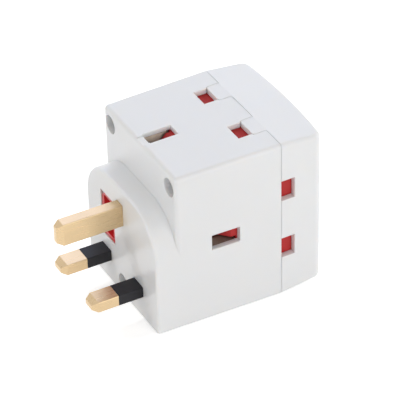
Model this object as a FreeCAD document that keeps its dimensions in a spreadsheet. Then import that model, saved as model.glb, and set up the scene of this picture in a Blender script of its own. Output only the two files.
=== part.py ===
import FreeCAD, Part
import os
import re
import Sketcher

# Three-way fused plug-in socket adapter, in millimetres.
# Origin: middle of the line between the two lower pins, on the plug face.
# +X is to the right seen from the wall, +Y leads away from the wall, +Z is up.

doc = FreeCAD.newDocument("SocketAdapter")

# Driving dimensions: alias, value, meaning.
SIZES = [
    ("pin_pitch", 22.23, "spacing of line and neutral pins and slots"),
    ("earth_rise", 22.23, "earth centre to the line and neutral row"),
    ("ln_pin_width", 6.35, "line and neutral pin, long side"),
    ("ln_pin_thick", 3.95, "line and neutral pin, short side"),
    ("ln_pin_length", 17.7, "line and neutral pin beyond the plug face"),
    ("earth_pin_width", 8.0, "earth pin, long side"),
    ("earth_pin_thick", 3.98, "earth pin, short side"),
    ("earth_pin_length", 22.73, "earth pin beyond the plug face"),
    ("pin_tip_bevel", 1.1, "bevel at each pin's tip, across the pin"),
    ("pin_tip_run", 2.1, "length of the bevel along the pin"),
    ("pin_edge_round", 0.25, "rounding of a pin's long edges"),
    ("pin_tail", 10.0, "depth of a pin's tail inside the plug face"),
    ("pin_collar", 1.0, "how far a pin's collar stands out"),
    ("pin_collar_length", 1.6, "length of a pin's collar"),
    ("rivet_radius", 1.3, "stud at the end of a pin's tail"),
    ("rivet_head_radius", 1.9, "peened head of the stud"),
    ("rivet_head", 0.7, "height of the peened head"),
    ("sleeve_length", 8.6, "insulated length beyond the plug face"),
    ("sleeve_wall", 0.45, "thickness of the insulating sleeve"),
    ("sleeve_inset", 2.0, "sleeve inside the plug face"),
    ("pin_fit", 0.06, "clearance of a pin in its hole"),
    ("boss_depth", 7.5, "plug face to rear face"),
    ("arch_top", 31.9, "top of the arched plug boss"),
    ("arch_radius", 15.5, "upper corners of the plug boss"),
    ("face_round", 0.9, "rounded edge of the plug face"),
    ("face_wall", 3.0, "thickness of the plug face"),
    ("base_drop", 10.9, "pin row down to the flat base"),
    ("split_half_width", 24.95, "half width where casing and cover meet"),
    ("split_top", 47.75, "top of the casing where it meets the cover"),
    ("casing_draft", 0.018, "moulding draft of sides and top"),
    ("long_round", 1.5, "rounded long and rear edges"),
    ("shell_wall", 2.3, "side wall at the split"),
    ("top_wall", 2.1, "top wall at the split"),
    ("floor_wall", 2.5, "bottom wall"),
    ("rear_wall", 2.5, "rear wall above the boss"),
    ("front_half_width", 24.6, "half width at the front edge"),
    ("front_top", 46.4, "top at the front edge"),
    ("front_base_drop", 9.4, "pin row down to the front edge"),
    ("front_depth", 59.5, "plug face to the side edges of the front"),
    ("front_crown", 1.5, "bulge of the front face"),
    ("front_wall", 2.0, "thickness of the front"),
    ("lip_thick", 1.1, "register lips above the floor"),
    ("lip_reach", 3.0, "how far a register lip enters the casing"),
    ("front_corner", 3.0, "corner radius of the front outline"),
    ("seam", 0.12, "open line between casing and cover"),
    ("top_socket_depth", 15.2, "plug face to the top earth slot"),
    ("side_socket_depth", 24.7, "plug face to the side earth slots"),
    ("side_socket_height", 18.9, "pin row up to the side earth slots"),
    ("earth_slot_length", 10.0, "earth slot, long side"),
    ("earth_slot_width", 5.6, "earth slot, short side"),
    ("ln_slot_length", 7.6, "line and neutral slot, long side"),
    ("ln_slot_width", 5.0, "line and neutral slot, short side"),
    ("tongue_lap", 0.5, "how far a cover tongue is wider than its slot"),
    ("tongue_corner", 0.9, "rounded corners of a cover tongue"),
    ("shutter_thick", 1.9, "thickness of a shutter plate"),
    ("shutter_gap", 0.2, "running clearance of a shutter"),
    ("shutter_lap", 0.9, "how far a lid overlaps its slot"),
    ("ramp_half_width", 1.85, "half width of the shutter ramp"),
    ("ramp_drop", 6.9, "depth of the shutter ramp"),
    ("ramp_face", 4.2, "depth of the ramp's sloping face"),
    ("ramp_lead", 1.2, "how far the ramp's bar stands behind the earth centre"),
    ("ramp_bar", 2.2, "thickness of the ramp bar"),
    ("neck_half_width", 3.4, "half width of a shutter's neck"),
    ("spring_coil_radius", 1.25, "middle radius of a shutter spring"),
    ("spring_wire_radius", 0.22, "radius of the spring wire"),
    ("spring_start", 8.9, "earth slot's middle to the start of a spring"),
    ("spring_length", 9.0, "shutter spring with the shutter closed"),
    ("spring_turns", 5.0, "turns of a shutter spring"),
    ("spring_post", 1.5, "thickness of the post behind a spring"),
    ("spring_post_half", 1.5, "half width of the post"),
    ("neck_start", 4.6, "earth slot's middle to the shutter's neck"),
    ("rail_start", 5.4, "earth slot's middle to the start of the rails"),
    ("rail_end", 18.4, "earth slot's middle to the end of the rails"),
    ("rail_wall", 1.1, "wall of a shutter rail"),
    ("rail_lip", 1.0, "lip of a shutter rail"),
    ("strip", 0.7, "thickness of the contact strip"),
    ("jaw_half_gap", 2.15, "half gap of a contact jaw"),
    ("jaw_width", 5.2, "width of a line or neutral jaw"),
    ("earth_jaw_width", 8.2, "width of an earth jaw"),
    ("earth_strip_width", 6.4, "width of the earth strip"),
    ("column_width", 3.0, "width of the live and neutral strips' columns"),
    ("column_inset", 1.6, "middle to the columns"),
    ("leaf_width", 4.9, "width of the fuse contacts"),
    ("leaf_gap", 0.02, "fuse contact to the fuse cap"),
    ("jaw_flare", 1.5, "length of a jaw's flared mouth"),
    ("jaw_flare_out", 0.6, "how far the mouth opens"),
    ("earth_flare", 2.4, "length of an earth jaw's flared mouth"),
    ("earth_flare_out", 1.3, "how far an earth jaw's mouth opens"),
    ("jaw_root", 6.2, "inner end of the side line and neutral jaws"),
    ("top_jaw_floor", 28.5, "level of the top jaws' webs"),
    ("live_plane", 51.2, "depth of the live strip"),
    ("neutral_plane", 54.8, "depth of the neutral strip"),
    ("fuse_length", 25.4, "fuse link"),
    ("fuse_radius", 3.175, "fuse link"),
    ("fuse_cap_length", 6.0, "end cap of the fuse link"),
    ("fuse_cap_wall", 0.3, "thickness of the fuse caps"),
    ("fuse_x", 9.15, "fuse link left of the middle"),
    ("fuse_z", 10.4, "fuse link above the pin row"),
    ("fuse_start", 4.0, "plug face to the fuse link"),
    ("carrier_half_width", 4.45, "half width of the fuse carrier"),
    ("carrier_low", 6.4, "bottom of the fuse carrier"),
    ("carrier_high", 23.2, "top of the fuse carrier's face"),
    ("carrier_face", 0.4, "plug face to the carrier's face"),
    ("carrier_head", 7.2, "plug face to the back of the carrier's head"),
    ("carrier_tray_top", 14.3, "top of the carrier's tray"),
    ("carrier_tray_end", 30.4, "plug face to the end of the tray"),
    ("carrier_corner", 3.6, "upper corners of the carrier's head"),
    ("carrier_rim", 1.4, "rim round the carrier's face"),
    ("carrier_dish", 2.4, "depth of the dished face"),
    ("carrier_fit", 0.15, "clearance of the carrier in its pocket"),
    ("pocket_wall", 1.0, "wall of the fuse pocket"),
    ("well_x", 19.8, "upper screw wells from the middle"),
    ("well_z", 41.7, "upper screw wells above the pin row"),
    ("low_well_drop", 5.7, "low screw well below the pin row"),
    ("well_radius", 3.2, "screw well"),
    ("well_wall", 1.2, "wall round a screw well"),
    ("well_depth", 29.0, "plug face to the bottom of the wells"),
    ("well_floor", 2.0, "thickness of a well's bottom"),
    ("screw_radius", 1.4, "screw shank"),
    ("screw_head_radius", 2.7, "screw head"),
    ("screw_head", 1.9, "height of a screw head"),
    ("screw_length", 13.0, "screw shank length"),
    ("screw_fit", 0.2, "clearance round a screw shank"),
    ("pillar_radius", 2.3, "screw pillars of the cover"),
]

sheet = doc.addObject("Spreadsheet::Sheet", "Sizes")
for row, (alias, value, meaning) in enumerate(SIZES, start=1):
    sheet.set("A%d" % row, meaning)
    sheet.set("B%d" % row, str(value))
    sheet.setAlias("B%d" % row, alias)
doc.recompute()

ALIAS = re.compile(r"[a-z]+(?:_[a-z]+)*")
AXIS_PLANE = {"x": "YZ_Plane", "y": "XZ_Plane", "z": "XY_Plane"}

# Places worked out from the driving dimensions.
SPLIT = "(side_socket_depth + earth_rise - ln_slot_width / 2)"
LN_X = "(pin_pitch / 2)"
TOP_LN_Y = "(top_socket_depth + earth_rise)"
SIDE_LN_Y = "(side_socket_depth + earth_rise)"
SIDE_HIGH_Z = "(side_socket_height + pin_pitch / 2)"
SIDE_LOW_Z = "(side_socket_height - pin_pitch / 2)"
CAVITY_X = "(split_half_width - shell_wall)"
CAVITY_TOP = "(split_top - top_wall)"
CAVITY_LOW = "(floor_wall - base_drop)"


def bound(expression):
    """The expression with every alias pointed at the sheet."""
    return ALIAS.sub(lambda word: "Sizes." + word.group(0), str(expression))


def number(expression):
    """Present value of an expression over the sheet's aliases."""
    return float(sheet.evalExpression(bound(expression)))


def half_width_at(depth):
    """Half width of the drafted casing at a depth from the plug face."""
    return "(split_half_width - casing_draft * (%s - (%s)))" % (SPLIT, depth)


def top_at(depth):
    """Top of the drafted casing at a depth from the plug face."""
    return "(split_top - casing_draft * (%s - (%s)))" % (SPLIT, depth)


def new_body(label):
    body = doc.addObject("PartDesign::Body", label)
    body.Label = label
    return body


def origin_plane(body, role):
    for feature in body.Origin.OriginFeatures:
        if feature.Role == role:
            return feature
    raise ValueError(role)


def new_sketch(body, name, axis, level):
    """Empty sketch across an axis, at a level along it."""
    sketch = body.newObject("Sketcher::SketchObject", name)
    sketch.AttachmentSupport = (origin_plane(body, AXIS_PLANE[axis]), [""])
    sketch.MapMode = "FlatFace"
    side = "-1 * " if axis == "y" else ""
    sketch.setExpression("AttachmentOffset.Base.z", bound("%s(%s)" % (side, level)))
    return sketch


def bind(sketch, kind, geometry, end, name, expression):
    """A coordinate or radius of the sketch, tied to the sheet."""
    value = number(expression)
    if kind == "Radius":
        sketch.addConstraint(Sketcher.Constraint(kind, geometry, value))
    else:
        sketch.addConstraint(Sketcher.Constraint(kind, geometry, end, value))
    index = sketch.ConstraintCount - 1
    sketch.renameConstraint(index, name)
    sketch.setExpression("Constraints." + name, bound(expression))


def draw_outline(sketch, corners, tag="p"):
    """Closed outline through corners (across, up) or (across, up, radius).

    A corner with a radius joins a level and an upright line by a tangent arc.
    """
    count = len(corners)
    places = [(number(c[0]), number(c[1])) for c in corners]
    radii = [number(c[2]) if len(c) > 2 else 0.0 for c in corners]
    starts = []
    ends = []
    for i in range(count):
        before = FreeCAD.Vector(*places[i - 1], 0)
        here = FreeCAD.Vector(*places[i], 0)
        after = FreeCAD.Vector(*places[(i + 1) % count], 0)
        starts.append(here + (after - here).normalize() * radii[i])
        ends.append(here + (before - here).normalize() * radii[i])
    lines = []
    for i in range(count):
        segment = Part.LineSegment(starts[i], ends[(i + 1) % count])
        lines.append(sketch.addGeometry(segment, False))
    for i in range(count):
        before_line = lines[i - 1]
        after_line = lines[i]
        name = "%s%d" % (tag, i)
        if radii[i] == 0.0:
            sketch.addConstraint(Sketcher.Constraint("Coincident", before_line, 2, after_line, 1))
            bind(sketch, "DistanceX", after_line, 1, name + "u", corners[i][0])
            bind(sketch, "DistanceY", after_line, 1, name + "v", corners[i][1])
            continue
        here = FreeCAD.Vector(*places[i], 0)
        centre = ends[i] + starts[i] - here
        middle = centre + (here - centre).normalize() * radii[i]
        arc = sketch.addGeometry(Part.Arc(ends[i], middle, starts[i]), False)
        forward = (ends[i] - centre).cross(starts[i] - centre).z > 0
        first, last = (1, 2) if forward else (2, 1)
        sketch.addConstraint(Sketcher.Constraint("Tangent", before_line, 2, arc, first))
        sketch.addConstraint(Sketcher.Constraint("Tangent", arc, last, after_line, 1))
        bind(sketch, "Radius", arc, 0, name + "r", corners[i][2])
    for i in range(count):
        after = (i + 1) % count
        if radii[i] == 0.0 and radii[after] == 0.0:
            continue
        upright = corners[i][0] == corners[after][0]
        kind = "Vertical" if upright else "Horizontal"
        sketch.addConstraint(Sketcher.Constraint(kind, lines[i]))
        if radii[i] != 0.0 and radii[after] != 0.0:
            name = "%s%dl" % (tag, i)
            if upright:
                bind(sketch, "DistanceX", lines[i], 1, name, corners[i][0])
            else:
                bind(sketch, "DistanceY", lines[i], 1, name, corners[i][1])


def rectangle(left, right, low, high, radius=None):
    corners = [(left, low), (right, low), (right, high), (left, high)]
    if radius is None:
        return corners
    return [corner + (radius,) for corner in corners]


def pad_or_pocket(body, name, sketch, start, stop, cut, backwards):
    """The sketch carried from one level to another, added or cut away."""
    before = body.Shape.Volume if body.Tip and not body.Shape.isNull() else 0.0
    feature = body.newObject("PartDesign::Pocket" if cut else "PartDesign::Pad", name)
    feature.Profile = sketch
    feature.setExpression("Length", bound("(%s) - (%s)" % (stop, start)))
    feature.Reversed = backwards
    doc.recompute()
    if (body.Shape.Volume - before >= 0.0) == cut:
        raise ValueError("%s of %s changed nothing" % (name, body.Label))
    return feature


def extrude(body, name, axis, outlines, start, stop, cut=False):
    """Pad or pocket of closed outlines between two levels along an axis."""
    sketch = new_sketch(body, name + "Sketch", axis, start)
    if isinstance(outlines[0], tuple):
        outlines = [outlines]
    for index, outline in enumerate(outlines):
        draw_outline(sketch, outline, "abcdefgh"[index])
    return pad_or_pocket(body, name, sketch, start, stop, cut, (axis == "y") != cut)


def block(body, name, x, y, z, cut=False, along="z"):
    """Straight-sided pad or pocket between pairs of limits on each axis."""
    if along == "x":
        return extrude(body, name, "x", rectangle(*y, *z), x[0], x[1], cut)
    if along == "y":
        return extrude(body, name, "y", rectangle(*x, *z), y[0], y[1], cut)
    return extrude(body, name, "z", rectangle(*x, *y), z[0], z[1], cut)


def round_bar(body, name, centres, radius, start, stop, cut=False):
    """Round pads or pockets along Y, centred at each (across, up)."""
    sketch = new_sketch(body, name + "Sketch", "y", start)
    for index, (across, up) in enumerate(centres):
        centre = FreeCAD.Vector(number(across), number(up), 0)
        circle = sketch.addGeometry(Part.Circle(centre, FreeCAD.Vector(0, 0, 1), number(radius)), False)
        bind(sketch, "Radius", circle, 0, "r%d" % index, radius)
        bind(sketch, "DistanceX", circle, 3, "u%d" % index, across)
        bind(sketch, "DistanceY", circle, 3, "v%d" % index, up)
    return pad_or_pocket(body, name, sketch, start, stop, cut, not cut)


def chosen_edges(shape, test):
    """Names of the edges whose middle point and edge pass the test."""
    names = []
    for index, edge in enumerate(shape.Edges, start=1):
        middle = edge.valueAt((edge.FirstParameter + edge.LastParameter) / 2)
        if test(middle, edge):
            names.append("Edge%d" % index)
    return names


def dress(body, name, kind, test, size):
    """Fillet or chamfer of the edges of the body's tip that pass the test."""
    base = body.Tip
    names = chosen_edges(base.Shape, test)
    if not names:
        raise ValueError("%s of %s found no edge" % (name, body.Label))
    feature = body.newObject("PartDesign::" + kind, name)
    feature.Base = (base, names)
    feature.setExpression("Radius" if kind == "Fillet" else "Size", bound(size))
    doc.recompute()
    if "Invalid" in feature.State:
        raise ValueError("%s of %s failed" % (name, body.Label))
    return feature


def near(value, expression, slack=0.02):
    return abs(value - number(expression)) < slack


def neg(expression):
    return "-1 * (%s)" % expression


def span(centre, half):
    """Limits either side of a centre."""
    return ("(%s) - (%s)" % (centre, half), "(%s) + (%s)" % (centre, half))


def flip(sign, limits):
    """Limits as they are on the right, or mirrored to the left."""
    if sign > 0:
        return limits
    return (neg(limits[1]), neg(limits[0]))


def swapped(outlines):
    return [[(b, a) for a, b in outline] for outline in outlines]


SIDE_WALL = {"top": CAVITY_TOP, "left": CAVITY_X, "right": CAVITY_X}
SIDE_EARTH = {"top": "top_socket_depth", "left": "side_socket_depth", "right": "side_socket_depth"}
SPRING_END = "(spring_start + spring_length)"


def shutter_block(body, name, side, lateral, depth, outward, cut=False):
    """Block by limits across, along the travel from the earth slot's middle,
    and outward from the inner face of the wall."""
    wall = SIDE_WALL[side]
    y = tuple("%s + %s" % (SIDE_EARTH[side], limit) for limit in depth)
    out = tuple("%s + %s" % (wall, limit) for limit in outward)
    if side == "top":
        return block(body, name, lateral, y, out, cut)
    z = tuple("side_socket_height + %s" % limit for limit in lateral)
    return block(body, name, flip(-1 if side == "left" else 1, out), y, z, cut)


WELL_SPOTS = [("well_x", "well_z"), (neg("well_x"), "well_z"), ("0", neg("low_well_drop"))]


# Rear casing
# A drafted white moulding, open towards the front, with the arched plug boss
# on its back. The boss carries the pins, the fuse pocket and the low screw.
def drafted_plan(start, stop):
    """Plan outline of the casing between two depths, wider to the front."""
    return [(neg(half_width_at(start)), start), (half_width_at(start), start),
            (half_width_at(stop), stop), (neg(half_width_at(stop)), stop)]


def make_plug_boss():
    root = "(boss_depth + long_round + 0.4)"
    boss = new_body("plug_boss")
    extrude(boss, "Boss", "z", drafted_plan("0", root), neg("base_drop"), "arch_top")

    def long_edge(at, level):
        return near(at.z, level) and 1 < at.y < number(root) - 1

    dress(boss, "ArchRound", "Fillet", lambda at, edge: long_edge(at, "arch_top"), "arch_radius")
    dress(boss, "BaseRound", "Fillet", lambda at, edge: long_edge(at, neg("base_drop")), "long_round")
    dress(boss, "FaceRound", "Fillet", lambda at, edge: near(at.y, "0"), "face_round")
    return boss


def make_rear_casing():
    body = new_body("rear_casing")
    extrude(body, "Block", "z", drafted_plan("boss_depth", SPLIT), neg("base_drop"), "split_top + 1")
    behind = "boss_depth - 1"
    beyond = SPLIT + " + 1"
    extrude(body, "TopDraft", "x",
            [(behind, top_at(behind)), (beyond, top_at(beyond)), (beyond, "split_top + 2"),
             (behind, "split_top + 2")],
            neg("split_half_width + 1"), "split_half_width + 1", cut=True)
    dress(body, "LongRound", "Fillet",
          lambda at, edge: number("boss_depth") + 1 < at.y < number(SPLIT) - 1 or near(at.y, "boss_depth"),
          "long_round")
    joined = body.newObject("PartDesign::Boolean", "PlugBoss")
    joined.setObjects([make_plug_boss()])
    joined.Type = "Fuse"
    doc.recompute()

    inner = "(boss_depth + rear_wall)"
    block(body, "Cavity", span("0", CAVITY_X), (inner, SPLIT), (CAVITY_LOW, CAVITY_TOP), cut=True, along="y")
    arch = "(arch_radius - floor_wall)"
    extrude(body, "BossCavity", "y",
            [(neg(CAVITY_X), CAVITY_LOW), (CAVITY_X, CAVITY_LOW),
             (CAVITY_X, "arch_top - floor_wall", arch), (neg(CAVITY_X), "arch_top - floor_wall", arch)],
            "face_wall", inner + " + 0.1", cut=True)

    # Screw wells stand in the cavity like tubes.
    tube = "well_radius + well_wall"
    round_bar(body, "UpperTubes", WELL_SPOTS[:2], tube, inner + " - 0.5", "well_depth + well_floor")
    round_bar(body, "LowTube", WELL_SPOTS[2:], tube, "face_wall - 0.5", "well_depth + well_floor")

    # The fuse pocket: a wide mouth in the boss and a tunnel behind it.
    walls = span(neg("fuse_x"), "carrier_half_width + carrier_fit + pocket_wall")
    room = span(neg("fuse_x"), "carrier_half_width + carrier_fit")
    floor = "(carrier_low - carrier_fit - pocket_wall)"
    block(body, "PocketMouth", walls, ("face_wall - 0.5", "carrier_head + carrier_fit + pocket_wall"),
          (floor, "carrier_high + carrier_fit + pocket_wall"), along="y")
    block(body, "PocketTunnel", walls, ("carrier_head", "carrier_tray_end + carrier_fit + pocket_wall"),
          (floor, "carrier_tray_top + carrier_fit + pocket_wall"), along="y")
    block(body, "MouthRoom", room, ("0", "carrier_head + carrier_fit"),
          ("carrier_low - carrier_fit", "carrier_high + carrier_fit"), cut=True, along="y")
    block(body, "TunnelRoom", room, ("carrier_head", "carrier_tray_end + carrier_fit"),
          ("carrier_low - carrier_fit", "carrier_tray_top + carrier_fit"), cut=True, along="y")
    clip_slot = (neg("fuse_x + 2.7"), neg("fuse_x - 2.7"))
    block(body, "FrontClipSlot", clip_slot, ("fuse_start + 3.6", "pin_tail + strip + 0.4"),
          (floor + " - 0.1", "carrier_low"), cut=True)
    block(body, "BackClipSlot", clip_slot,
          ("fuse_start + fuse_length - fuse_cap_length + 0.6", "fuse_start + fuse_length + 0.3"),
          (floor + " - 0.1", "carrier_low"), cut=True)

    round_bar(body, "Wells", WELL_SPOTS, "well_radius", "0", "well_depth", cut=True)
    round_bar(body, "ScrewHoles", WELL_SPOTS, "screw_radius + screw_fit", "well_depth - 0.1",
              "well_depth + well_floor + 0.1", cut=True)

    # Holes that hold the pins.
    block(body, "EarthPinHole", span("0", "earth_pin_thick / 2 + pin_fit"), ("0", "pin_tail"),
          span("earth_rise", "earth_pin_width / 2 + pin_fit"), cut=True, along="y")
    for name, sign in [("LinePinHole", -1), ("NeutralPinHole", 1)]:
        block(body, name, flip(sign, span(LN_X, "ln_pin_width / 2 + pin_fit")), ("0", "face_wall + 0.1"),
              span("0", "ln_pin_thick / 2 + pin_fit"), cut=True, along="y")

    # Slots of the top socket, the front pair open towards the cover.
    slot_y = span("top_socket_depth", "earth_slot_length / 2")
    above = (CAVITY_TOP + " - 0.1", "split_top + 1")
    block(body, "TopEarthSlot", span("0", "earth_slot_width / 2"), slot_y, above, cut=True)
    block(body, "TopNotch", span("0", "earth_slot_width / 2 - 0.4"), ("boss_depth - 1", slot_y[0] + " + 0.1"),
          (top_at("boss_depth") + " - 0.4", "split_top + 1"), cut=True)
    for name, sign in [("TopLineSlot", -1), ("TopNeutralSlot", 1)]:
        block(body, name, flip(sign, span(LN_X, "ln_slot_length / 2")),
              (TOP_LN_Y + " - ln_slot_width / 2", SPLIT + " + 0.1"), above, cut=True)
        block(body, name + "Tongue", flip(sign, span(LN_X, "ln_slot_length / 2 + tongue_lap + seam")),
              (TOP_LN_Y + " + ln_slot_width / 2 - seam", SPLIT + " + 0.1"), above, cut=True)
    for name, sign in [("LeftEarthSlot", -1), ("RightEarthSlot", 1)]:
        block(body, name, flip(sign, (CAVITY_X + " - 0.1", "split_half_width + 1")),
              span("side_socket_depth", "earth_slot_length / 2"),
              span("side_socket_height", "earth_slot_width / 2"), cut=True)

    # Rails and spring posts for the three shutters.
    for side in ("top", "left", "right"):
        for name, sign in [("RailA", -1), ("RailB", 1)]:
            web = flip(sign, ("neck_half_width + shutter_gap", "neck_half_width + shutter_gap + rail_wall"))
            lip = flip(sign, ("neck_half_width - rail_lip", "neck_half_width + shutter_gap + rail_wall"))
            under = neg("shutter_thick + 2 * shutter_gap + rail_lip")
            run = ("rail_start", "rail_end")
            shutter_block(body, side.title() + name, side, web, run, (under, "0.3"))
            shutter_block(body, side.title() + name + "Lip", side, lip, run,
                          (under, neg("shutter_thick + 2 * shutter_gap")))
        shutter_block(body, side.title() + "SpringPost", side, (neg("spring_post_half"), "spring_post_half"),
                      (SPRING_END, SPRING_END + " + spring_post"), ("-3.6", "0.3"))
    return body


# Front cover
# It closes the casing with a slightly bowed front. Three pillars take the
# screws, and two tongues on top close the open ends of the casing's slots.
def bowed_plan(body, name, half_start, start, half_front, side_depth, low, high, cut=False):
    """Pad or pocket along Z of a plan outline with a bowed front line."""
    sketch = new_sketch(body, name + "Sketch", "z", low)
    reach = number(half_front)
    base = number(half_start)
    near_depth = number(start)
    depth = number(side_depth)
    crown = number("front_crown")
    lines = [Part.LineSegment(FreeCAD.Vector(-reach, depth, 0), FreeCAD.Vector(-base, near_depth, 0)),
             Part.LineSegment(FreeCAD.Vector(-base, near_depth, 0), FreeCAD.Vector(base, near_depth, 0)),
             Part.LineSegment(FreeCAD.Vector(base, near_depth, 0), FreeCAD.Vector(reach, depth, 0))]
    for line in lines:
        sketch.addGeometry(line, False)
    arc = Part.Arc(FreeCAD.Vector(reach, depth, 0), FreeCAD.Vector(0, depth + crown, 0),
                   FreeCAD.Vector(-reach, depth, 0))
    sketch.addGeometry(arc, False)
    sketch.addConstraint(Sketcher.Constraint("Coincident", 0, 2, 1, 1))
    sketch.addConstraint(Sketcher.Constraint("Coincident", 1, 2, 2, 1))
    sketch.addConstraint(Sketcher.Constraint("Coincident", 2, 2, 3, 1))
    sketch.addConstraint(Sketcher.Constraint("Coincident", 3, 2, 0, 1))
    bind(sketch, "DistanceX", 1, 1, "startleft", neg(half_start))
    bind(sketch, "DistanceY", 1, 1, "startdepth", start)
    bind(sketch, "DistanceX", 1, 2, "startright", half_start)
    sketch.addConstraint(Sketcher.Constraint("Horizontal", 1))
    bind(sketch, "DistanceX", 0, 1, "frontleft", neg(half_front))
    bind(sketch, "DistanceY", 0, 1, "leftdepth", side_depth)
    bind(sketch, "DistanceX", 2, 2, "frontright", half_front)
    bind(sketch, "DistanceY", 2, 2, "rightdepth", side_depth)
    bow = "((%s) ^ 2 + front_crown ^ 2) / (2 * front_crown)" % half_front
    bind(sketch, "Radius", 3, 0, "bow", bow)
    return pad_or_pocket(body, name, sketch, low, high, cut, cut)


def make_front_cover():
    body = new_body("front_cover")
    start = "(%s + seam)" % SPLIT
    bowed_plan(body, "Block", "split_half_width", start, "front_half_width", "front_depth",
               neg("base_drop + 1"), "split_top + 1")
    beyond = "(front_depth + 5)"
    top_fall = "((split_top - front_top) / (front_depth - %s))" % start
    base_rise = "((base_drop - front_base_drop) / (front_depth - %s))" % start
    high_end = "split_top - %s * (%s - %s)" % (top_fall, beyond, start)
    low_end = neg("base_drop - %s * (%s - %s)" % (base_rise, beyond, start))
    sides = (neg("split_half_width + 1"), "split_half_width + 1")
    extrude(body, "TopSlope", "x",
            [(start, "split_top"), (beyond, high_end), (beyond, "split_top + 2"), (start, "split_top + 2")],
            sides[0], sides[1], cut=True)
    extrude(body, "BaseSlope", "x",
            [(start, neg("base_drop")), (start, neg("base_drop + 2")), (beyond, neg("base_drop + 2")),
             (beyond, low_end)],
            sides[0], sides[1], cut=True)
    middle_z = number("(split_top - base_drop) / 2")
    front_edge = number("front_depth - 0.5")
    far_out = number("0.8 * front_half_width")
    highest = number("front_top - 2")
    lowest = number("2 - front_base_drop")
    dress(body, "FrontCorners", "Fillet",
          lambda at, edge: at.y > front_edge and abs(at.z - middle_z) < 5 and abs(at.x) > far_out,
          "front_corner")
    dress(body, "FrontRound", "Fillet",
          lambda at, edge: not lowest <= at.z <= highest and not near(at.y, start), "long_round")

    roof = "(front_top - front_wall - 0.6)"
    base = "(front_wall - front_base_drop)"
    bowed_plan(body, "Hollow", CAVITY_X, start + " - 1", "(front_half_width - front_wall)",
               "(front_depth - front_wall)", base, roof, cut=True)
    block(body, "Mouth", span("0", CAVITY_X), (start + " - 1", SPLIT + " + 3.6"), (CAVITY_LOW, CAVITY_TOP),
          cut=True, along="y")

    # Tongues closing the top slots, flush with the casing's top.
    back = "(%s + ln_slot_width / 2)" % TOP_LN_Y
    root = start + " + 0.7"
    for name, sign in [("LineTongue", -1), ("NeutralTongue", 1)]:
        limits = flip(sign, span(LN_X, "ln_slot_length / 2 + tongue_lap"))
        extrude(body, name, "x",
                [(back, CAVITY_TOP), (root, CAVITY_TOP), (root, "split_top - 0.1"), (start, "split_top"),
                 (back, top_at(back))], limits[0], limits[1])
    dress(body, "TongueCorners", "Fillet",
          lambda at, edge: near(at.y, back) and at.z > number(CAVITY_TOP) + 0.5 and edge.Length < 4
          and near(abs(edge.Vertexes[0].X), "%g" % abs(edge.Vertexes[1].X)), "tongue_corner")

    # Side slots, open towards the casing.
    for name, sign in [("Left", -1), ("Right", 1)]:
        wall = flip(sign, (CAVITY_X + " - 0.1", "split_half_width + 1"))
        for level, centre in [("High", SIDE_HIGH_Z), ("Low", SIDE_LOW_Z)]:
            block(body, name + level + "Slot", wall, (start + " - 1", SIDE_LN_Y + " + ln_slot_width / 2"),
                  span(centre, "ln_slot_length / 2"), cut=True)

    # Screw pillars, contact posts and the register lips.
    pillar_start = "(well_depth + well_floor + 0.3)"
    round_bar(body, "Pillars", WELL_SPOTS, "pillar_radius", pillar_start, "front_depth - 1")
    for name, sign in [("LeftPillarRib", -1), ("RightPillarRib", 1)]:
        block(body, name, flip(sign, ("well_x + pillar_radius - 0.6", CAVITY_X + " + 0.3")),
              (SPLIT + " + 6", "front_depth - 1"), span("well_z", "0.6"))
    round_bar(body, "Pilots", WELL_SPOTS, "screw_radius + 0.05", pillar_start,
              "well_depth + screw_length + 1", cut=True)
    round_bar(body, "LivePost", [("-3.1", "side_socket_height - 1")], "1.2",
              "live_plane + strip + 0.1", "front_depth + 0.4")
    round_bar(body, "NeutralPost", [("3.1", "side_socket_height - 1")], "1.2",
              "neutral_plane + strip + 0.1", "front_depth + 0.4")
    for name, sign in [("LeftLip", -1), ("RightLip", 1)]:
        limits = flip(sign, ("6", "20"))
        top = CAVITY_LOW + " + lip_thick"
        block(body, name, limits, (SPLIT + " - lip_reach", SPLIT + " + 2"), (CAVITY_LOW + " + seam", top),
              along="y")
        block(body, name + "Root", limits, (start, SPLIT + " + 2"), (CAVITY_LOW + " - 0.3", top), along="y")
    return body


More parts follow.
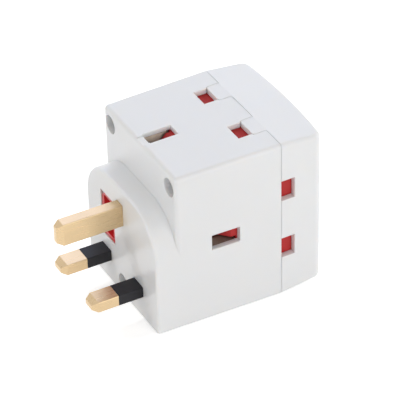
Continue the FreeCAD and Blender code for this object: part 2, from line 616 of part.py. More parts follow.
# Pins
# Solid brass blades with bevelled tips. The lower two are necked for
# their black sleeves. Each tail ends in a stud riveted through its strip.
def make_pin(label, centre, width, height, length, sleeved):
    """Pin at (across, up); width runs across and height runs up."""
    body = new_body(label)
    across, up = centre
    tip = neg(length)
    full = (span(across, "(%s) / 2" % width), span(up, "(%s) / 2" % height))
    block(body, "Blade", full[0], (tip, neg("sleeve_length") if sleeved else "pin_tail"), full[1], along="y")
    bevels = [("TipBevelFlat", "x", up, height), ("TipBevelUpright", "z", across, width)]
    for name, axis, middle, size in bevels:
        wedges = []
        for side in (-1, 1):
            low = "(%s) + %d * ((%s) / 2 - 1.5 * pin_tip_bevel)" % (middle, side, size)
            high = "(%s) + %d * ((%s) / 2 + 0.5 * pin_tip_bevel)" % (middle, side, size)
            near_y = tip + " - 0.5 * pin_tip_run"
            far_y = tip + " + 1.5 * pin_tip_run"
            wedge = [(near_y, low), (far_y, high), (near_y, high)]
            wedges.append(wedge if axis == "x" else swapped([wedge])[0])
        limits = full[0] if axis == "x" else full[1]
        extrude(body, name, axis, wedges, limits[0] + " - 1", limits[1] + " + 1", cut=True)
    dress(body, "EdgeRound", "Fillet",
          lambda at, edge: near(abs(edge.Vertexes[0].X - edge.Vertexes[1].X), "0")
          and near(abs(edge.Vertexes[0].Z - edge.Vertexes[1].Z), "0"), "pin_edge_round")
    if sleeved:
        neck = (span(across, "(%s) / 2 - sleeve_wall" % width), span(up, "(%s) / 2 - sleeve_wall" % height))
        block(body, "Neck", neck[0], (neg("sleeve_length + 0.5"), "sleeve_inset + 0.5"), neck[1], along="y")
        block(body, "Tail", full[0], ("sleeve_inset", "pin_tail"), full[1], along="y")
    block(body, "Collar", full[0], ("face_wall", "face_wall + pin_collar_length"),
          span(up, "(%s) / 2 + pin_collar" % height), along="y")
    round_bar(body, "Stud", [centre], "rivet_radius", "pin_tail - 0.5", "pin_tail + strip + 0.2")
    head = ("pin_tail + strip", "pin_tail + strip + rivet_head")
    round_bar(body, "StudHead", [centre], "rivet_head_radius", *head)
    return body


def make_sleeve(label, across):
    body = new_body(label)
    reach = (neg("sleeve_length"), "sleeve_inset")
    block(body, "Sleeve", span(across, "ln_pin_width / 2"), reach, span("0", "ln_pin_thick / 2"), along="y")
    dress(body, "SleeveRound", "Fillet", lambda at, edge: edge.Length > 8, "pin_edge_round")
    block(body, "Bore", span(across, "ln_pin_width / 2 - sleeve_wall"), reach,
          span("0", "ln_pin_thick / 2 - sleeve_wall"), cut=True, along="y")
    return body


# Fuse and its carrier
# A cartridge link lies in the red carrier, which pushes in from the plug face.
def make_fuse_tube():
    body = new_body("fuse_tube")
    spot = [(neg("fuse_x"), "fuse_z")]
    ends = ("fuse_start + fuse_cap_wall", "fuse_start + fuse_length - fuse_cap_wall")
    round_bar(body, "Tube", spot, "fuse_radius - fuse_cap_wall", ends[0], ends[1])
    round_bar(body, "Bore", spot, "fuse_radius - fuse_cap_wall - 1", ends[0], ends[1], cut=True)
    return body


def make_fuse_cap(label, start, stop, mouth_start, mouth_stop):
    body = new_body(label)
    spot = [(neg("fuse_x"), "fuse_z")]
    round_bar(body, "Cap", spot, "fuse_radius", start, stop)
    round_bar(body, "Mouth", spot, "fuse_radius - fuse_cap_wall", mouth_start, mouth_stop, cut=True)
    dress(body, "CapBevel", "Chamfer",
          lambda at, edge: near(abs(at.y - number("fuse_start + fuse_length / 2")), "fuse_length / 2")
          and edge.Length > number("6.2 * fuse_radius"), "0.3")
    return body


def make_fuse_carrier():
    body = new_body("fuse_carrier")
    width = span(neg("fuse_x"), "carrier_half_width")
    head = ("carrier_face", "carrier_head")
    block(body, "Head", width, head, ("carrier_low", "carrier_high"), along="y")

    def head_edge(at, edge, level):
        run = abs(edge.Vertexes[0].Y - edge.Vertexes[1].Y)
        return near(at.z, level) and near(run, "carrier_head - carrier_face")

    dress(body, "UpperCorners", "Fillet", lambda at, edge: head_edge(at, edge, "carrier_high"),
          "carrier_corner")
    dress(body, "LowerCorners", "Fillet", lambda at, edge: head_edge(at, edge, "carrier_low"), "0.6")
    inset = "(carrier_half_width - carrier_rim)"
    block(body, "Dish", span(neg("fuse_x"), inset), ("carrier_face", "carrier_face + carrier_dish"),
          ("carrier_low + carrier_rim", "carrier_high - carrier_rim"), cut=True, along="y")
    tray_height = ("carrier_low", "carrier_tray_top")
    block(body, "Tray", width, ("carrier_head - 0.5", "carrier_tray_end"), tray_height, along="y")
    block(body, "Room", span(neg("fuse_x"), "fuse_radius + 0.1"),
          ("carrier_head", "fuse_start + fuse_length + 0.1"), ("carrier_low - 1", "carrier_tray_top - 0.6"),
          cut=True, along="y")
    block(body, "LeafGap", span(neg("fuse_x"), "fuse_radius + 0.1"),
          ("carrier_head", "carrier_tray_end + 1"), ("carrier_low - 1", "fuse_z - fuse_radius + 0.15"),
          cut=True, along="y")
    round_bar(body, "CapSeat", [(neg("fuse_x"), "fuse_z")], "fuse_radius + 0.05",
              "fuse_start", "carrier_head + 0.1", cut=True)
    return body


def stud_hole(body, spot):
    """Hole of a strip for the stud of its pin."""
    round_bar(body, "StudHole", [spot], "rivet_radius", "pin_tail - 0.1", "pin_tail + strip + 0.1", cut=True)


def make_line_fuse_clip():
    body = new_body("line_fuse_clip")
    plane = ("pin_tail", "pin_tail + strip")
    leaf = span(neg("fuse_x"), "leaf_width / 2")
    leaf_top = "(fuse_z - fuse_radius - leaf_gap)"
    block(body, "Tab", (neg(LN_X + " + 2.7"), leaf[1]), plane, ("-2.6", "2.6"), along="y")
    block(body, "Riser", leaf, plane, ("2.4", leaf_top), along="y")
    block(body, "Leaf", leaf, ("pin_tail - 2.2", plane[1]), (leaf_top + " - strip", leaf_top), along="y")
    stud_hole(body, (neg(LN_X), "0"))
    return body


# Contact strips
# Folded strips join the jaws of the three sockets to their plug pins.
def leaf_pair(lean, middle, foot, tip, flare="jaw_flare", opening="jaw_flare_out"):
    """Two flared leaves of a jaw, outlines in (along the leaf, across it).

    lean is +1 or -1 for the way the leaf points; the jaw's middle is across.
    """
    bend = "(%s) - %d * %s" % (tip, lean, flare)
    pair = []
    for side in (-1, 1):
        inner = "(%s) + %d * jaw_half_gap" % (middle, side)
        outer = "(%s) + %d * (jaw_half_gap + strip)" % (middle, side)
        out = " + %d * %s" % (side, opening)
        pair.append([(foot, inner), (bend, inner), (tip, inner + out), (tip, outer + out), (bend, outer),
                     (foot, outer)])
    return pair


def make_earth_bar():
    body = new_body("earth_bar")
    plate = ("(side_socket_height + jaw_half_gap)", "(side_socket_height + jaw_half_gap + strip)")
    side_y = span("side_socket_depth", "earth_jaw_width / 2")
    top_y = span("top_socket_depth", "earth_jaw_width / 2")
    width = span("0", "earth_strip_width / 2")
    low = "(side_socket_height - strip)"
    riser = ("(top_socket_depth + 0.9)", "(top_socket_depth + 0.9 + strip)")
    block(body, "Tab", width, ("pin_tail", "pin_tail + strip"), (low, "earth_rise + 3"), along="y")
    block(body, "LowStrip", width, ("pin_tail", riser[1]), (low, low + " + strip"), along="y")
    block(body, "Riser", width, riser, (low, plate[1]), along="y")
    block(body, "Plate", width, (riser[0], side_y[1]), plate, along="y")
    tip = CAVITY_X + " - 0.6"
    for name, sign in [("Left", -1), ("Right", 1)]:
        foot = "%d * 0.2" % sign
        outlines = leaf_pair(sign, "side_socket_height", foot, "%d * (%s)" % (sign, tip), "earth_flare",
                             "earth_flare_out")
        extrude(body, name + "Jaw", "y", outlines[0], side_y[0], side_y[1])
        extrude(body, name + "JawUpper", "y", outlines[1], side_y[0], side_y[1])
    web = ("side_socket_height - jaw_half_gap - strip / 2", plate[1])
    block(body, "Web", span("0", "strip / 2"), side_y, web, along="y")
    leaves = swapped(leaf_pair(1, "0", plate[0], CAVITY_TOP + " - 0.4", "earth_flare", "earth_flare_out"))
    extrude(body, "TopJaw", "y", leaves, top_y[0], top_y[1])
    stud_hole(body, ("0", "earth_rise"))
    return body


def side_jaw(body, name, sign, height, plane):
    """U-shaped jaw of a side socket, its web running on to a strip plane."""
    edges = span(height, "jaw_width / 2")
    foot = "%d * jaw_root" % sign
    tip = "%d * (%s - 3.7)" % (sign, CAVITY_X)
    back, front = leaf_pair(sign, SIDE_LN_Y, foot, tip)
    extrude(body, name + "Back", "z", back, *edges)
    extrude(body, name + "Front", "z", front, *edges)
    block(body, name + "Web", flip(sign, ("jaw_root", "jaw_root + strip")),
          (SIDE_LN_Y + " - jaw_half_gap - strip", plane + " + strip"), edges)


def top_jaw(body, name, sign, plane):
    """U-shaped jaw of the top socket, with a strip that leads to a plane."""
    edges = flip(sign, span(LN_X, "jaw_width / 2"))
    web = ("(top_jaw_floor)", "(top_jaw_floor + strip)")
    leaves = swapped(leaf_pair(1, TOP_LN_Y, web[0], CAVITY_TOP + " - 2.7"))
    extrude(body, name + "Back", "x", leaves[0], *edges)
    extrude(body, name + "Front", "x", leaves[1], *edges)
    block(body, name + "Web", edges, span(TOP_LN_Y, "jaw_half_gap + strip"), web)
    block(body, name + "Lead", flip(sign, ("1.8", LN_X)), span(TOP_LN_Y, "1.3"), web)
    block(body, name + "Run", flip(sign, ("1.8", "4.2")), (TOP_LN_Y + " - 1.3", plane + " + strip"), web)


def make_live_bar():
    body = new_body("live_bar")
    plane = ("live_plane", "live_plane + strip")
    side_jaw(body, "RightJaw", 1, SIDE_HIGH_Z, "live_plane")
    bridge = (SIDE_HIGH_Z + " - 0.3", SIDE_HIGH_Z + " + 2.4")
    column = ("-1 * (column_inset + column_width)", "-1 * column_inset")
    block(body, "Across", (column[0], "jaw_root + strip"), plane, bridge, along="y")
    arm = "(carrier_low - carrier_fit - pocket_wall - 1.2)"
    block(body, "Down", column, plane, (arm, bridge[1]), along="y")
    block(body, "Low", (neg("jaw_root + strip"), column[1]), plane, span(SIDE_LOW_Z, "2.2"), along="y")
    side_jaw(body, "LeftJaw", -1, SIDE_LOW_Z, "live_plane")
    top_jaw(body, "TopJaw", -1, "live_plane")
    end = "(fuse_start + fuse_length - 0.1)"
    leaf = span(neg("fuse_x"), "leaf_width / 2")
    leaf_top = "(fuse_z - fuse_radius - leaf_gap)"
    block(body, "Arm", column, (end + " - column_width", plane[1]), (arm, arm + " + strip"))
    block(body, "Reach", (leaf[0], column[1]), (end + " - column_width", end), (arm, arm + " + strip"))
    block(body, "Riser", leaf, (end + " - strip", end), (arm, leaf_top), along="y")
    block(body, "Leaf", leaf, (end + " - 4.6", end), (leaf_top + " - strip", leaf_top))
    return body


def make_neutral_bar():
    body = new_body("neutral_bar")
    plane = ("neutral_plane", "neutral_plane + strip")
    side_jaw(body, "LeftJaw", -1, SIDE_HIGH_Z, "neutral_plane")
    arm = "2.6"
    column = ("column_inset", "column_inset + column_width")
    block(body, "Across", (neg("jaw_root + strip"), column[1]), plane, span(SIDE_HIGH_Z, "1.6"), along="y")
    block(body, "Down", column, plane, (arm, SIDE_HIGH_Z + " + 1.6"), along="y")
    block(body, "Low", (column[0], "jaw_root + strip"), plane, span(SIDE_LOW_Z, "2.2"), along="y")
    side_jaw(body, "RightJaw", 1, SIDE_LOW_Z, "neutral_plane")
    top_jaw(body, "TopJaw", 1, "neutral_plane")
    tab = span(LN_X, "2.6")
    block(body, "Foot", (column[0], tab[1]), plane, (arm, arm + " + 2.6"), along="y")
    block(body, "Arm", tab, ("pin_tail", "neutral_plane + strip"), (arm, arm + " + strip"))
    block(body, "Tab", tab, ("pin_tail", "pin_tail + strip"), ("-2.6", arm + " + strip"), along="y")
    stud_hole(body, (LN_X, "0"))
    return body


# Shutters
# Three alike, under the top and behind both sides. A plug's earth pin pushes
# the ramp forward, the lids clear their slots, and a small spring returns it.
def make_shutter(side):
    body = new_body(side + "_shutter")
    plate = (neg("shutter_gap + shutter_thick"), neg("shutter_gap"))
    reach = "(pin_pitch / 2 + ln_slot_length / 2 + shutter_lap)"
    lid = ("(earth_rise - ln_slot_width / 2 - 0.25)", "(earth_rise + ln_slot_width / 2 + shutter_lap)")
    shutter_block(body, "Lids", side, (neg(reach), reach), lid, plate)
    neck = (neg("neck_half_width"), "neck_half_width")
    shutter_block(body, "Neck", side, neck, ("neck_start", lid[0] + " + 0.5"), plate)
    window = (neg("spring_post_half + 0.4"), "spring_post_half + 0.4")
    shutter_block(body, "Window", side, window, ("spring_start", SPRING_END + " + 2"),
                  (plate[0] + " - 0.1", "0"), cut=True)
    wall = SIDE_WALL[side]
    earth = SIDE_EARTH[side]
    high = "(%s - shutter_gap)" % wall
    foot = "(%s - ramp_drop)" % high
    front = "%s - ramp_lead" % earth
    bar = front + " + ramp_bar"
    end = "%s + neck_start + 2" % earth
    profile = [(front, foot), (bar, foot), (bar, high + " - ramp_face - 0.4"),
               (end, high + " - shutter_thick"), (end, high), ("%s + 2.9" % earth, high),
               (front, high + " - ramp_face")]
    if side == "top":
        extrude(body, "Ramp", "x", profile, neg("ramp_half_width"), "ramp_half_width")
    else:
        sign = -1 if side == "left" else 1
        plan = [("%d * (%s)" % (sign, out), y) for y, out in profile]
        extrude(body, "Ramp", "z", plan, "side_socket_height - ramp_half_width",
                "side_socket_height + ramp_half_width")
    return body


def make_shutter_spring(side):
    body = new_body(side + "_shutter_spring")
    section = new_sketch(body, "Section", "z", "0")
    wire = span("spring_coil_radius", "spring_wire_radius")
    draw_outline(section, rectangle(*wire, "0", "2 * spring_wire_radius"))
    helix = body.newObject("PartDesign::AdditiveHelix", "Coil")
    helix.Profile = section
    helix.ReferenceAxis = (section, ["V_Axis"])
    helix.Mode = "height-turns-angle"
    helix.setExpression("Height", bound("spring_length - 2 * spring_wire_radius"))
    helix.setExpression("Turns", bound("spring_turns"))
    axis_level = SIDE_WALL[side] + " - spring_coil_radius - spring_wire_radius - 0.25"
    start = SIDE_EARTH[side] + " + spring_start"
    if side == "top":
        body.setExpression("Placement.Base.z", bound(axis_level))
    else:
        body.setExpression("Placement.Base.x", bound("%d * (%s)" % (-1 if side == "left" else 1, axis_level)))
        body.setExpression("Placement.Base.z", bound("side_socket_height"))
    body.setExpression("Placement.Base.y", bound(start))
    doc.recompute()
    return body


# Case screws
def make_case_screw(label, spot):
    body = new_body(label)
    start = "(well_depth - screw_head)"
    round_bar(body, "Head", [spot], "screw_head_radius", start, "well_depth")
    dress(body, "HeadBevel", "Chamfer", lambda at, edge: near(at.y, start), "screw_head / 3")
    round_bar(body, "Shank", [spot], "screw_radius", "well_depth - 0.1", "well_depth + screw_length")
    dress(body, "Tip", "Chamfer", lambda at, edge: near(at.y, "well_depth + screw_length"), "0.5")
    deep = (start + " - 0.1", start + " + 1")
    block(body, "SlotAcross", span(spot[0], "1.7"), deep, span(spot[1], "0.4"), cut=True, along="y")
    block(body, "SlotUpright", span(spot[0], "0.4"), deep, span(spot[1], "1.7"), cut=True, along="y")
    return body


def pin_spot(sign):
    """Place of the line pin (-1) or the neutral pin (+1)."""
    return ("%d * %s" % (sign, LN_X), "0")


cap_end = "(fuse_start + fuse_length)"
bodies = [
    make_rear_casing(),
    make_front_cover(),
    make_pin("earth_pin", ("0", "earth_rise"), "earth_pin_thick", "earth_pin_width", "earth_pin_length",
             sleeved=False),
    make_pin("line_pin", pin_spot(-1), "ln_pin_width", "ln_pin_thick", "ln_pin_length", sleeved=True),
    make_pin("neutral_pin", pin_spot(1), "ln_pin_width", "ln_pin_thick", "ln_pin_length", sleeved=True),
    make_sleeve("line_pin_sleeve", neg(LN_X)),
    make_sleeve("neutral_pin_sleeve", LN_X),
    make_fuse_carrier(),
    make_fuse_tube(),
    make_fuse_cap("fuse_cap_front", "fuse_start", "fuse_start + fuse_cap_length",
                  "fuse_start + fuse_cap_wall", "fuse_start + fuse_cap_length + 0.1"),
    make_fuse_cap("fuse_cap_back", cap_end + " - fuse_cap_length", cap_end,
                  cap_end + " - fuse_cap_length - 0.1", cap_end + " - fuse_cap_wall"),
    make_line_fuse_clip(),
    make_live_bar(),
    make_neutral_bar(),
    make_earth_bar(),
]
for side in ("top", "left", "right"):
    bodies.append(make_shutter(side))
    bodies.append(make_shutter_spring(side))
for label, spot in zip(("upper_right_screw", "upper_left_screw", "lower_screw"), WELL_SPOTS):
    bodies.append(make_case_screw(label, spot))
doc.recompute()

os.makedirs("parts", exist_ok=True)
for feature in doc.Objects:
    if {"Invalid", "Error"} & set(feature.State):
        raise ValueError("%s is not sound" % feature.Label)
for body in bodies:
    shape = body.Shape
    if shape.isNull() or not shape.isValid() or len(shape.Solids) != 1:
        raise ValueError("%s is not one sound solid" % body.Label)
    shape.exportStep("parts/%s.step" % body.Label)
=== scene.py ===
import math

import bpy
import numpy as np
from mathutils import Matrix, Vector


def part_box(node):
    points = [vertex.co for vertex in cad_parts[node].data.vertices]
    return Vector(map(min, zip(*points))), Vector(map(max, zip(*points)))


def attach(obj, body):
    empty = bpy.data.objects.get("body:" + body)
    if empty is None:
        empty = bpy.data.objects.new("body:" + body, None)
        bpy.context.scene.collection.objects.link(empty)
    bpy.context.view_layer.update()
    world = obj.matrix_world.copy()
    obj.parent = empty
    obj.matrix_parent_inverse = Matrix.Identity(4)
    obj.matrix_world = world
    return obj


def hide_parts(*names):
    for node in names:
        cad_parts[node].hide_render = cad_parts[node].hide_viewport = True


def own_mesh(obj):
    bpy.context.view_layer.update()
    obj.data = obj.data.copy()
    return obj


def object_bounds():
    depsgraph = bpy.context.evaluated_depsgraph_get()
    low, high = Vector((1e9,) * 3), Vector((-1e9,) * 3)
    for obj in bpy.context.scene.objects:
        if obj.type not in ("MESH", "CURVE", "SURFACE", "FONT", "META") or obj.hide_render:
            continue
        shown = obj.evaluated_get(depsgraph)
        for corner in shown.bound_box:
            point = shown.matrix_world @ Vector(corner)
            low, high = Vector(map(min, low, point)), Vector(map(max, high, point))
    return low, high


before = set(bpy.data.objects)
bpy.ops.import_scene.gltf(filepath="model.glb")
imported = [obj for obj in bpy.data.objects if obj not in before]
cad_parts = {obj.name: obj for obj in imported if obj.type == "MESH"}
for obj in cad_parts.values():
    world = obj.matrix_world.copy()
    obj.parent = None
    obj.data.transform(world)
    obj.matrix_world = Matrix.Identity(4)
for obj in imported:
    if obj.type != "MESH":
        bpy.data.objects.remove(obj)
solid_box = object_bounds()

# White shell: rear casing and front cover.
# Both are injection moulded in a glossy white plastic with a very slight
# mould grain. Sharp moulded edges are a little softened by the shader.
MM = 0.001
SHELL_WHITE = (0.8, 0.802, 0.806)
SHELL_ROUGHNESS = 0.3
SHELL_EDGE = 0.35 * MM
PLASTIC_GRAIN = 0.2 * MM
LIGHT_DEPTH = 0.9 * MM


def new_material(name, roughness, metallic=0.0):
    """An empty node material: (material, its nodes, its links, its shader)."""
    material = bpy.data.materials.new(name)
    material.use_nodes = True
    nodes = material.node_tree.nodes
    shader = nodes["Principled BSDF"]
    shader.inputs["Roughness"].default_value = roughness
    shader.inputs["Metallic"].default_value = metallic
    return material, nodes, material.node_tree.links, shader


def noise_at(nodes, links, vector, scale, detail):
    """A noise texture looked up at a vector, in object space."""
    noise = nodes.new("ShaderNodeTexNoise")
    noise.inputs["Scale"].default_value = scale
    noise.inputs["Detail"].default_value = detail
    links.new(vector, noise.inputs["Vector"])
    return noise.outputs["Fac"]


def bump_by(nodes, links, shader, heights, strength, depth, edge):
    """The shader's normal is bumped by heights, over edges softened by a radius."""
    bump = nodes.new("ShaderNodeBump")
    bump.inputs["Strength"].default_value = strength
    bump.inputs["Distance"].default_value = depth
    links.new(heights, bump.inputs["Height"])
    if edge > 0.0:
        soft = nodes.new("ShaderNodeBevel")
        soft.samples = 6
        soft.inputs["Radius"].default_value = edge
        links.new(soft.outputs["Normal"], bump.inputs["Normal"])
    links.new(bump.outputs["Normal"], shader.inputs["Normal"])


def grain_on(nodes, links, shader, scale, strength, depth, edge=0.0):
    """Fine noise in object space as a bump; returns the object coordinates."""
    place = nodes.new("ShaderNodeTexCoord").outputs["Object"]
    heights = noise_at(nodes, links, place, scale, 3.0)
    bump_by(nodes, links, shader, heights, strength, depth, edge)
    return place


def cloudy_colour(nodes, links, shader, place, dark, light, scale):
    """Slow object-space noise that drifts between two base colours."""
    ramp = nodes.new("ShaderNodeValToRGB")
    ramp.color_ramp.elements[0].position = 0.3
    ramp.color_ramp.elements[0].color = (*dark, 1.0)
    ramp.color_ramp.elements[1].position = 0.7
    ramp.color_ramp.elements[1].color = (*light, 1.0)
    links.new(noise_at(nodes, links, place, scale, 2.0), ramp.inputs["Fac"])
    links.new(ramp.outputs["Color"], shader.inputs["Base Color"])


def shade(colour, share):
    """A share of a colour."""
    return tuple(share * channel for channel in colour)


def dress(material, *names):
    """The CAD nodes of these names take one material."""
    for name in names:
        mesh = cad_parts[name].data
        mesh.materials.clear()
        mesh.materials.append(material)


shell, nodes, links, shader = new_material("moulded_white", SHELL_ROUGHNESS)
shader.inputs["IOR"].default_value = 1.5
shader.inputs["Subsurface Weight"].default_value = 0.9
shader.inputs["Subsurface Radius"].default_value = (1.0, 0.9, 0.8)
shader.inputs["Subsurface Scale"].default_value = LIGHT_DEPTH
place = grain_on(nodes, links, shader, 900.0, 0.05, PLASTIC_GRAIN, SHELL_EDGE)
cloudy_colour(nodes, links, shader, place, shade(SHELL_WHITE, 0.985), SHELL_WHITE, 30.0)
dress(shell, "rear_casing", "front_cover")

# Shutters and the fuse carrier.
# A deep red plastic, seen through the slots and in the plug face. The carrier
# is glossier than the shutters, and its red is painted brighter as painted light.
RED = (0.54, 0.045, 0.045)
# The carrier's red is painted brighter than the shutters' red, standing in for light that its recess
# does not get.
CARRIER_RED_PAINTED_LIGHTER = (0.68, 0.03, 0.035)
RED_EDGE = 0.2 * MM


def red_plastic(name, colour, roughness, specular, *pieces):
    """One red moulding material, on the named pieces."""
    red, nodes, links, shader = new_material(name, roughness)
    shader.inputs["Specular IOR Level"].default_value = specular
    place = grain_on(nodes, links, shader, 700.0, 0.06, PLASTIC_GRAIN, RED_EDGE)
    cloudy_colour(nodes, links, shader, place, shade(colour, 0.85), colour, 120.0)
    dress(red, *pieces)


red_plastic("shutter_red", RED, 0.45, 0.15, "top_shutter", "left_shutter", "right_shutter")
red_plastic("carrier_red", CARRIER_RED_PAINTED_LIGHTER, 0.28, 0.5, "fuse_carrier")

# Plug pins.
# Solid drawn brass, polished along their length, with faint drawing lines
# that also vary the polish.
BRASS = (0.73, 0.545, 0.325)
PIN_EDGE = 0.12 * MM
METAL_GRAIN = 0.1 * MM
LINES_ALONG_Y = (1.0, 0.04, 1.0)
SMOOTH_LINE = 0.22
ROUGH_LINE = 0.36
brass, nodes, links, shader = new_material("polished_brass", SMOOTH_LINE, 1.0)
place = nodes.new("ShaderNodeTexCoord").outputs["Object"]
stretch = nodes.new("ShaderNodeMapping")
stretch.inputs["Scale"].default_value = LINES_ALONG_Y
links.new(place, stretch.inputs["Vector"])
lines = noise_at(nodes, links, stretch.outputs["Vector"], 2500.0, 2.0)
spread = nodes.new("ShaderNodeMapRange")
spread.inputs["To Min"].default_value = SMOOTH_LINE
spread.inputs["To Max"].default_value = ROUGH_LINE
links.new(lines, spread.inputs["Value"])
links.new(spread.outputs["Result"], shader.inputs["Roughness"])
bump_by(nodes, links, shader, lines, 0.05, METAL_GRAIN, PIN_EDGE)
cloudy_colour(nodes, links, shader, place, shade(BRASS, 0.94), BRASS, 200.0)
dress(brass, "earth_pin", "line_pin", "neutral_pin")

# Pin sleeves.
# Black insulating plastic moulded round the neck of the two lower pins.
SLEEVE_EDGE = 0.3 * MM
sleeve, nodes, links, shader = new_material("black_sleeve", 0.42)
shader.inputs["Specular IOR Level"].default_value = 0.3
place = grain_on(nodes, links, shader, 900.0, 0.08, PLASTIC_GRAIN, SLEEVE_EDGE)
cloudy_colour(nodes, links, shader, place, (0.0095, 0.0095, 0.012), (0.014, 0.014, 0.018), 200.0)
dress(sleeve, "line_pin_sleeve", "neutral_pin_sleeve")

# Contact strips.
# Stamped and folded brass sheet with a duller skin than the pins.
SHEET_EDGE = 0.2 * MM
strip, nodes, links, shader = new_material("stamped_strip", 0.4, 1.0)
place = grain_on(nodes, links, shader, 1500.0, 0.12, METAL_GRAIN, SHEET_EDGE)
# The strip colours are darkened by about a quarter as painted shade, standing in for the shade on the
# jaws deep inside the slots.
cloudy_colour(nodes, links, shader, place, (0.27, 0.225, 0.185), (0.4, 0.335, 0.275), 150.0)
dress(strip, "live_bar", "neutral_bar", "earth_bar", "line_fuse_clip")

# Cartridge fuse and screws.
# A white ceramic tube between two plated end caps. The case screws, deep in
# their wells, have the same plating.
ceramic, nodes, links, shader = new_material("fuse_ceramic", 0.55)
place = grain_on(nodes, links, shader, 1200.0, 0.1, PLASTIC_GRAIN)
cloudy_colour(nodes, links, shader, place, (0.7, 0.68, 0.63), (0.78, 0.76, 0.71), 250.0)
dress(ceramic, "fuse_tube")
plate, nodes, links, shader = new_material("plated_steel", 0.25, 1.0)
place = grain_on(nodes, links, shader, 1800.0, 0.08, METAL_GRAIN, SHEET_EDGE)
cloudy_colour(nodes, links, shader, place, (0.62, 0.62, 0.6), (0.72, 0.72, 0.7), 250.0)
dress(plate, "fuse_cap_front", "fuse_cap_back", "upper_right_screw", "upper_left_screw", "lower_screw")

# Shutter springs.
# Drawn steel wire wound into open coils, one behind each shutter. Each coil
# stands on its post.
WIRE = 0.22 * MM
COIL = 1.25 * MM
TURNS = 6.0
STEPS = 180
SIDES = 12
TIP_SHARE = 0.02


def coil(name, node):
    """Round wire along a helix about Y, closed at both ends.

    A point at turn t and wire angle a is the helix point plus the wire radius
    times (cos a radially out, sin a along Y): x = (R + w cos a) sin 2 pi t,
    z = (R + w cos a) cos 2 pi t, y rises evenly with t. The first and last
    rings shrink to the wire's middle, which closes the ends.
    """
    low, high = (np.array(corner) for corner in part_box(node))
    middle = (low + high) / 2
    t = np.concatenate([[0.0], np.linspace(0.0, 1.0, STEPS + 1), [1.0]])[:, None]
    wire = np.full_like(t, WIRE)
    wire[[0, -1]] = WIRE * TIP_SHARE
    a = np.linspace(0.0, 2 * np.pi, SIDES, endpoint=False)[None, :]
    turn = 2 * np.pi * TURNS * t
    out = COIL + wire * np.cos(a)
    rise = low[1] + WIRE + (high[1] - low[1] - 2 * WIRE) * t + wire * np.sin(a)
    points = np.stack([middle[0] + out * np.sin(turn), rise, middle[2] + out * np.cos(turn)], axis=-1)
    index = np.arange(t.size * SIDES).reshape(t.size, SIDES)
    beside = np.roll(index, -1, axis=1)
    quads = np.stack([index[:-1], beside[:-1], beside[1:], index[1:]], axis=-1).reshape(-1, 4)
    ends = [index[0][::-1].tolist(), index[-1].tolist()]
    mesh = bpy.data.meshes.new(name)
    mesh.from_pydata(points.reshape(-1, 3).tolist(), [], quads.tolist() + ends)
    mesh.polygons.foreach_set("use_smooth", [True] * len(mesh.polygons))
    mesh.update()
    piece = bpy.data.objects.new(name, mesh)
    bpy.context.scene.collection.objects.link(piece)
    return piece


wire, nodes, links, shader = new_material("spring_wire", 0.3, 1.0)
place = grain_on(nodes, links, shader, 2500.0, 0.1, METAL_GRAIN)
cloudy_colour(nodes, links, shader, place, (0.5, 0.5, 0.5), (0.6, 0.6, 0.6), 300.0)
for side in ("top", "left", "right"):
    node = side + "_shutter_spring"
    spring = coil(side + "_spring_coil", node)
    spring.data.materials.append(wire)
    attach(spring, "housing")
    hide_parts(node)
    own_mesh(spring)

# Floor.
# A plain white floor just under the adapter. To the camera and in reflections
# it is lifted to white, and its own shading keeps the adapter's shadow.
FLOOR_LEVEL = solid_box[0][2] - 0.2 * MM
FLOOR_REACH = 3.0
FLOOR_WHITE = (0.83, 0.83, 0.83, 1.0)
FLOOR_LIFT = 0.5
WHITE = (1.0, 1.0, 1.0, 1.0)
floor_mesh = bpy.data.meshes.new("floor")
signs = [(-1, -1), (1, -1), (1, 1), (-1, 1)]
corners = [(x * FLOOR_REACH, y * FLOOR_REACH, FLOOR_LEVEL) for x, y in signs]
floor_mesh.from_pydata(corners, [], [(0, 1, 2, 3)])
floor = bpy.data.objects.new("floor", floor_mesh)
bpy.context.scene.collection.objects.link(floor)
paper, nodes, links, shader = new_material("white_floor", 0.9)
shader.inputs["Base Color"].default_value = FLOOR_WHITE
shader.inputs["Specular IOR Level"].default_value = 0.0
shader.inputs["Emission Color"].default_value = WHITE
seen = nodes.new("ShaderNodeLightPath")
shown = nodes.new("ShaderNodeMath")
shown.operation = "MAXIMUM"
links.new(seen.outputs["Is Camera Ray"], shown.inputs[0])
links.new(seen.outputs["Is Glossy Ray"], shown.inputs[1])
lift = nodes.new("ShaderNodeMath")
lift.operation = "MULTIPLY"
lift.inputs[1].default_value = FLOOR_LIFT
links.new(shown.outputs["Value"], lift.inputs[0])
links.new(lift.outputs["Value"], shader.inputs["Emission Strength"])
floor_mesh.materials.append(paper)

# Surround.
# White to the camera. As a light it is darker overhead than at the horizon,
# and reflections see it white up to a height, then darker to straight up.
HORIZON = 0.88
ZENITH = 0.14
FALL_FROM = 0.1
MIRRORED_HORIZON = 1.0
MIRRORED_ZENITH = 0.2
MIRRORED_FALL_FROM = 0.6
world = bpy.data.worlds.new("surround")
bpy.context.scene.world = world
world.use_nodes = True
nodes, links = world.node_tree.nodes, world.node_tree.links
backdrop = nodes["Background"]
backdrop.inputs["Color"].default_value = WHITE
height = nodes.new("ShaderNodeSeparateXYZ")
links.new(nodes.new("ShaderNodeTexCoord").outputs["Generated"], height.inputs["Vector"])


def by_height(start, low, high):
    """A level that runs from low to high between a height and straight up."""
    fall = nodes.new("ShaderNodeMapRange")
    fall.inputs["From Min"].default_value = start
    fall.inputs["To Min"].default_value = low
    fall.inputs["To Max"].default_value = high
    links.new(height.outputs["Z"], fall.inputs["Value"])
    return fall.outputs["Result"]


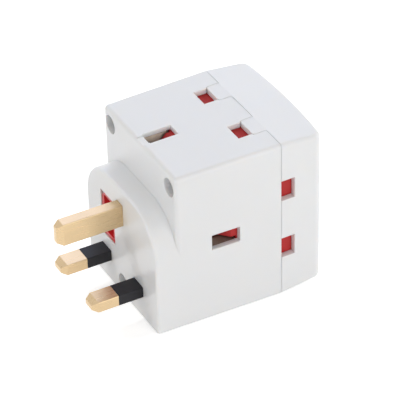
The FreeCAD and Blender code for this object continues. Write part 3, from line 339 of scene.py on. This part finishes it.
seen = nodes.new("ShaderNodeLightPath")
mirrored = nodes.new("ShaderNodeMath")
mirrored.operation = "MAXIMUM"
links.new(seen.outputs["Is Glossy Ray"], mirrored.inputs[0])
links.new(seen.outputs["Is Transmission Ray"], mirrored.inputs[1])
indirect = nodes.new("ShaderNodeMapRange")
links.new(by_height(FALL_FROM, HORIZON, ZENITH), indirect.inputs["To Min"])
links.new(by_height(MIRRORED_FALL_FROM, MIRRORED_HORIZON, MIRRORED_ZENITH), indirect.inputs["To Max"])
links.new(mirrored.outputs["Value"], indirect.inputs["Value"])
level = nodes.new("ShaderNodeMapRange")
links.new(indirect.outputs["Result"], level.inputs["To Min"])
links.new(seen.outputs["Is Camera Ray"], level.inputs["Value"])
links.new(level.outputs["Result"], backdrop.inputs["Strength"])

# Lamps.
# One small lamp over the pins casts their shadows on the boss, and large soft
# lamps stand on the other sides. The pale card is seen only in the brass.
CENTRE = Vector((0.0, 0.02, 0.018))
SMALL = 0.06
LARGE = 0.9
CARD = 0.8
NEUTRAL = (1.0, 1.0, 1.0)
WARM = (1.0, 0.99, 0.97)
COOL = (0.94, 0.97, 1.0)
COOLER = (0.94, 0.96, 1.0)
CARD_BLUE = (0.4, 0.49, 0.84)


def lamp(name, toward, distance, size, power, tint):
    """A square lamp that looks at the adapter from a direction."""
    data = bpy.data.lights.new(name, "AREA")
    data.size = size
    data.energy = power
    data.color = tint
    light = bpy.data.objects.new(name, data)
    direction = Vector(toward).normalized()
    light.location = CENTRE + direction * distance
    light.rotation_euler = direction.to_track_quat("Z", "Y").to_euler()
    bpy.context.scene.collection.objects.link(light)
    return light


key = lamp("key_lamp", (-0.75, -1.0, 1.23), 0.9, SMALL, 1.4, NEUTRAL)
key.visible_glossy = False
lamp("rear_lamp", (0.2, -1.0, 0.2), 1.0, LARGE, 0.5, NEUTRAL)
lamp("side_lamp", (1.0, 0.0, 0.5), 1.0, LARGE, 3.95, WARM)
lamp("far_lamp", (0.0, 1.0, 0.45), 1.0, LARGE, 3.5, COOL)
left = lamp("left_lamp", (-1.0, 0.3, 0.4), 1.1, LARGE, 5.3, COOLER)
left.visible_glossy = False
pale_card = lamp("pale_card", (-0.85, 0.25, 0.55), 0.9, CARD, 2.4, CARD_BLUE)
pale_card.visible_diffuse = False

# Camera.
# It stands where the photograph was taken from, worked out from the standard
# pins: focal length in pixels, azimuth, elevation, roll and place.
PICTURE_PIXELS = 400.0
SENSOR_MM = 36.0
FOCAL_PIXELS = 2532.661
AZIMUTH = math.radians(62.392)
ELEVATION = math.radians(36.017)
ROLL = math.radians(-1.449)
CAMERA_PLACE = Vector((583.3, -276.4, 495.4)) * MM
NEAREST = 10 * MM
back = Vector((math.sin(AZIMUTH) * math.cos(ELEVATION), -math.cos(AZIMUTH) * math.cos(ELEVATION),
               math.sin(ELEVATION)))
level_right = Vector((math.cos(AZIMUTH), math.sin(AZIMUTH), 0.0))
level_up = back.cross(level_right)
right = math.cos(ROLL) * level_right + math.sin(ROLL) * level_up
up = -math.sin(ROLL) * level_right + math.cos(ROLL) * level_up
camera_data = bpy.data.cameras.new("camera")
camera_data.sensor_width = SENSOR_MM
camera_data.lens = FOCAL_PIXELS * SENSOR_MM / PICTURE_PIXELS
camera_data.clip_start = NEAREST
camera_data.dof.use_dof = False
camera = bpy.data.objects.new("camera", camera_data)
stand = Matrix((right, up, back)).transposed().to_4x4()
stand.translation = CAMERA_PLACE
camera.matrix_world = stand
bpy.context.scene.collection.objects.link(camera)
bpy.context.scene.camera = camera
bpy.context.scene.view_settings.view_transform = "Standard"
